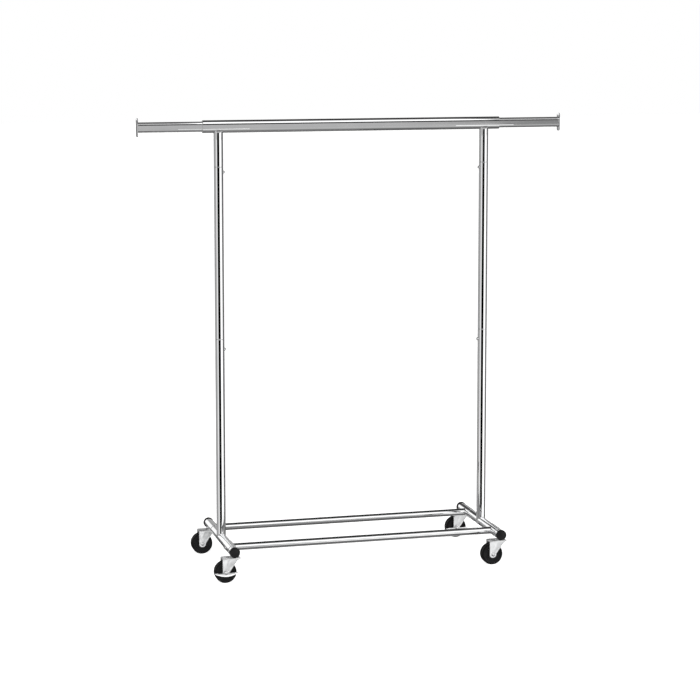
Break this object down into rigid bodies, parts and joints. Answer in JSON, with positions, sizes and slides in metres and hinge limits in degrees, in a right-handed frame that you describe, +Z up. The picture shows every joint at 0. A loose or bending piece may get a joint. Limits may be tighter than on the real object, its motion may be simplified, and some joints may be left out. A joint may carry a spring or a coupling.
{
  "type": "rolling clothes rack",
  "caption": "Chrome rolling clothes rack with a telescoping flat-sided top rail, knock-down round posts, an open base of side bars and rails, and swivel casters, some with brake pedals.",
  "frame": {"origin": "on the floor, under the middle of the rack", "axes": "+X along the hanging rail to the right, +Y to the back, +Z up"},
  "size_m": [1.5178, 0.4656, 1.5718],
  "materials": {
    "chrome": "polished chrome plate",
    "zinc": "bright zinc plate",
    "spring": "spring steel",
    "nylon": "natural nylon",
    "black": "black plastic",
    "tyre": "black hard rubber"
  },
  "bodies": {
    "frame": {"rail_tube": "chrome", "left_rail_bush": "nylon", "left_rail_stub": "chrome", "left_upper_post": "chrome", "left_lower_post": "chrome", "left_side_bar": "chrome", "left_upper_button_spring": "spring", "left_middle_button_spring": "spring", "right_rail_bush": "nylon", "right_rail_stub": "chrome", "right_upper_post": "chrome", "right_lower_post": "chrome", "right_side_bar": "chrome", "right_upper_button_spring": "spring", "right_middle_button_spring": "spring", "front_base_rail": "chrome", "back_base_rail": "chrome", "front_left_tee_collar": "chrome", "front_left_end_cap": "black", "front_left_collar_screw": "zinc", "front_left_caster_stem": "zinc", "front_right_tee_collar": "chrome", "front_right_end_cap": "black", "front_right_collar_screw": "zinc", "front_right_caster_stem": "zinc", "back_left_tee_collar": "chrome", "back_left_end_cap": "black", "back_left_collar_screw": "zinc", "back_left_caster_stem": "zinc", "back_right_tee_collar": "chrome", "back_right_end_cap": "black", "back_right_collar_screw": "zinc", "back_right_caster_stem": "zinc"},
    "left_extension": {"left_extension_tube": "chrome", "left_end_plate": "chrome"},
    "right_extension": {"right_extension_tube": "chrome", "right_end_plate": "chrome"},
    "left_upper_button": {"left_upper_snap_button": "zinc"},
    "left_middle_button": {"left_middle_snap_button": "zinc"},
    "right_upper_button": {"right_upper_snap_button": "zinc"},
    "right_middle_button": {"right_middle_snap_button": "zinc"},
    "front_left_swivel": {"front_left_fork": "zinc", "front_left_ball_race": "zinc", "front_left_axle_bolt": "zinc"},
    "front_left_roller": {"front_left_wheel": "tyre"},
    "front_left_pedal": {"front_left_brake_pedal": "zinc"},
    "front_right_swivel": {"front_right_fork": "zinc", "front_right_ball_race": "zinc", "front_right_axle_bolt": "zinc"},
    "front_right_roller": {"front_right_wheel": "tyre"},
    "back_left_swivel": {"back_left_fork": "zinc", "back_left_ball_race": "zinc", "back_left_axle_bolt": "zinc"},
    "back_left_roller": {"back_left_wheel": "tyre"},
    "back_right_swivel": {"back_right_fork": "zinc", "back_right_ball_race": "zinc", "back_right_axle_bolt": "zinc"},
    "back_right_roller": {"back_right_wheel": "tyre"},
    "back_right_pedal": {"back_right_brake_pedal": "zinc"}
  },
  "joints": [
    {"name": "left_extension_slide", "type": "slide", "parent": "frame", "child": "left_extension", "axis": [1, 0, 0], "range_m": [0, 0.222]},
    {"name": "right_extension_slide", "type": "slide", "parent": "frame", "child": "right_extension", "axis": [-1, 0, 0], "range_m": [0, 0.222]},
    {"name": "left_upper_button_press", "type": "slide", "parent": "frame", "child": "left_upper_button", "axis": [-1, 0, 0], "range_m": [0, 0.0055], "stiffness_N_per_m": 2000, "springref_m": -0.0015},
    {"name": "left_middle_button_press", "type": "slide", "parent": "frame", "child": "left_middle_button", "axis": [-1, 0, 0], "range_m": [0, 0.0055], "stiffness_N_per_m": 2000, "springref_m": -0.0015},
    {"name": "right_upper_button_press", "type": "slide", "parent": "frame", "child": "right_upper_button", "axis": [1, 0, 0], "range_m": [0, 0.0055], "stiffness_N_per_m": 2000, "springref_m": -0.0015},
    {"name": "right_middle_button_press", "type": "slide", "parent": "frame", "child": "right_middle_button", "axis": [1, 0, 0], "range_m": [0, 0.0055], "stiffness_N_per_m": 2000, "springref_m": -0.0015},
    {"name": "front_left_swivel_turn", "type": "hinge", "parent": "frame", "child": "front_left_swivel", "pos_m": [-0.4775, -0.207, 0.0855], "axis": [0, 0, 1], "continuous": true},
    {"name": "front_left_wheel_spin", "type": "hinge", "parent": "front_left_swivel", "child": "front_left_roller", "pos_m": [-0.5075, -0.207, 0.0375], "axis": [0, 1, 0], "continuous": true},
    {"name": "front_left_pedal_rock", "type": "hinge", "parent": "front_left_swivel", "child": "front_left_pedal", "pos_m": [-0.5075, -0.2288, 0.0375], "axis": [0, 1, 0], "range_deg": [-12, 12]},
    {"name": "front_right_swivel_turn", "type": "hinge", "parent": "frame", "child": "front_right_swivel", "pos_m": [0.4775, -0.207, 0.0855], "axis": [0, 0, 1], "continuous": true},
    {"name": "front_right_wheel_spin", "type": "hinge", "parent": "front_right_swivel", "child": "front_right_roller", "pos_m": [0.4475, -0.207, 0.0375], "axis": [0, 1, 0], "continuous": true},
    {"name": "back_left_swivel_turn", "type": "hinge", "parent": "frame", "child": "back_left_swivel", "pos_m": [-0.4775, 0.207, 0.0855], "axis": [0, 0, 1], "continuous": true},
    {"name": "back_left_wheel_spin", "type": "hinge", "parent": "back_left_swivel", "child": "back_left_roller", "pos_m": [-0.5075, 0.207, 0.0375], "axis": [0, 1, 0], "continuous": true},
    {"name": "back_right_swivel_turn", "type": "hinge", "parent": "frame", "child": "back_right_swivel", "pos_m": [0.4775, 0.207, 0.0855], "axis": [0, 0, 1], "continuous": true},
    {"name": "back_right_wheel_spin", "type": "hinge", "parent": "back_right_swivel", "child": "back_right_roller", "pos_m": [0.4475, 0.207, 0.0375], "axis": [0, 1, 0], "continuous": true},
    {"name": "back_right_pedal_rock", "type": "hinge", "parent": "back_right_swivel", "child": "back_right_pedal", "pos_m": [0.4475, 0.1852, 0.0375], "axis": [0, 1, 0], "range_deg": [-12, 12]}
  ]
}
